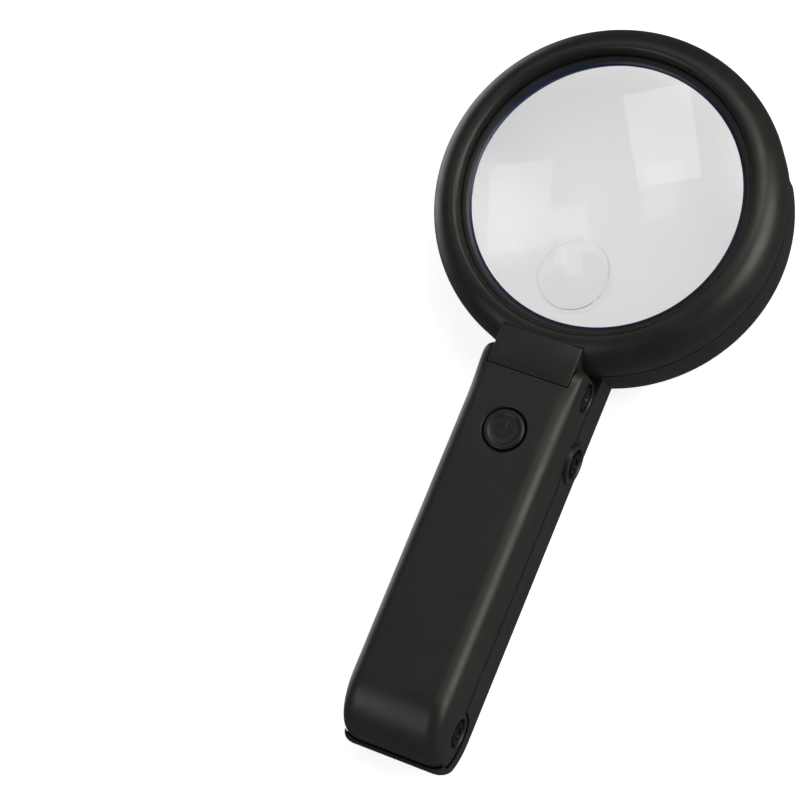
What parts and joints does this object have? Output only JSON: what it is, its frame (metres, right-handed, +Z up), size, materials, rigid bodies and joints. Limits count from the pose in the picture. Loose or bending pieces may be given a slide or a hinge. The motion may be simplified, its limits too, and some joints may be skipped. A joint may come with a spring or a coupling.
{
  "type": "folding magnifier",
  "caption": "Folding hand and stand magnifier: a round lens in a lighted rim on a jointed handle, folded on a C-shaped stand that carries a link arm.",
  "frame": {"origin": "on the floor, under the middle of the folded outline", "axes": "+Z up through the lens, +Y from the handle towards the lens, +X across"},
  "size_m": [0.1174, 0.2529, 0.0345],
  "materials": {
    "shell": "fine satin black plastic",
    "button": "satin black plastic",
    "switch": "satin",
    "lens": "clear polished",
    "steel": "zinc plated",
    "circuit": "circuit board",
    "led": "clear epoxy",
    "cell": "plain sleeve",
    "contact": "nickel plated",
    "lead": "insulation",
    "washer": "nylon"
  },
  "bodies": {
    "stand": {"stand_base": "shell", "stand_pivot_bolt": "steel", "stand_pivot_nut": "steel", "stand_pivot_washer_left": "washer", "stand_pivot_washer_right": "washer"},
    "link": {"link_arm": "shell"},
    "handle": {"handle_shell": "shell", "handle_rear_plate": "shell", "battery_cover": "shell", "switch_body": "switch", "elbow_bolt": "steel", "elbow_nut": "steel", "head_hinge_screw_left": "steel", "head_hinge_screw_right": "steel", "handle_screw_1": "steel", "handle_screw_2": "steel", "handle_screw_3": "steel", "elbow_washer_left": "washer", "elbow_washer_right": "washer", "battery_contact_plate": "contact", "battery_terminal_left": "contact", "battery_terminal_right": "contact", "battery_spring_left": "contact", "battery_spring_right": "contact", "button_spring": "contact", "battery_left": "cell", "battery_right": "cell", "switch_board": "circuit", "handle_lead": "lead"},
    "head": {"head_bezel": "shell", "head_rear_cover": "shell", "led_board": "circuit", "lens_ring": "shell", "main_lens": "lens", "head_lead": "lead", "led_1": "led", "led_2": "led", "led_3": "led", "led_4": "led", "led_5": "led", "led_6": "led", "led_7": "led", "led_8": "led", "head_screw_1": "steel", "head_screw_2": "steel", "head_screw_3": "steel", "head_screw_4": "steel"},
    "button": {"power_button": "button"}
  },
  "joints": [
    {"name": "stand_pivot", "type": "hinge", "parent": "stand", "child": "link", "pos_m": [0, -0.0162, 0.0087], "axis": [-1, 0, 0], "range_deg": [0, 65.5]},
    {"name": "elbow", "type": "hinge", "parent": "link", "child": "handle", "pos_m": [0, -0.1117, 0.012], "axis": [1, 0, 0], "range_deg": [0, 110]},
    {"name": "head_tilt", "type": "hinge", "parent": "handle", "child": "head", "pos_m": [0, 0.0034, 0.02], "axis": [-1, 0, 0], "range_deg": [0, 38.2]},
    {"name": "button_press", "type": "slide", "parent": "handle", "child": "button", "axis": [0, 0, -1], "range_m": [0, 0.0012], "stiffness_N_per_m": 900, "springref_m": -0.0006}
  ],
  "couplings": [
    {"joint": "stand_pivot", "follows": "elbow", "ratio": 0.5954},
    {"joint": "head_tilt", "follows": "elbow", "ratio": 0.3472}
  ]
}
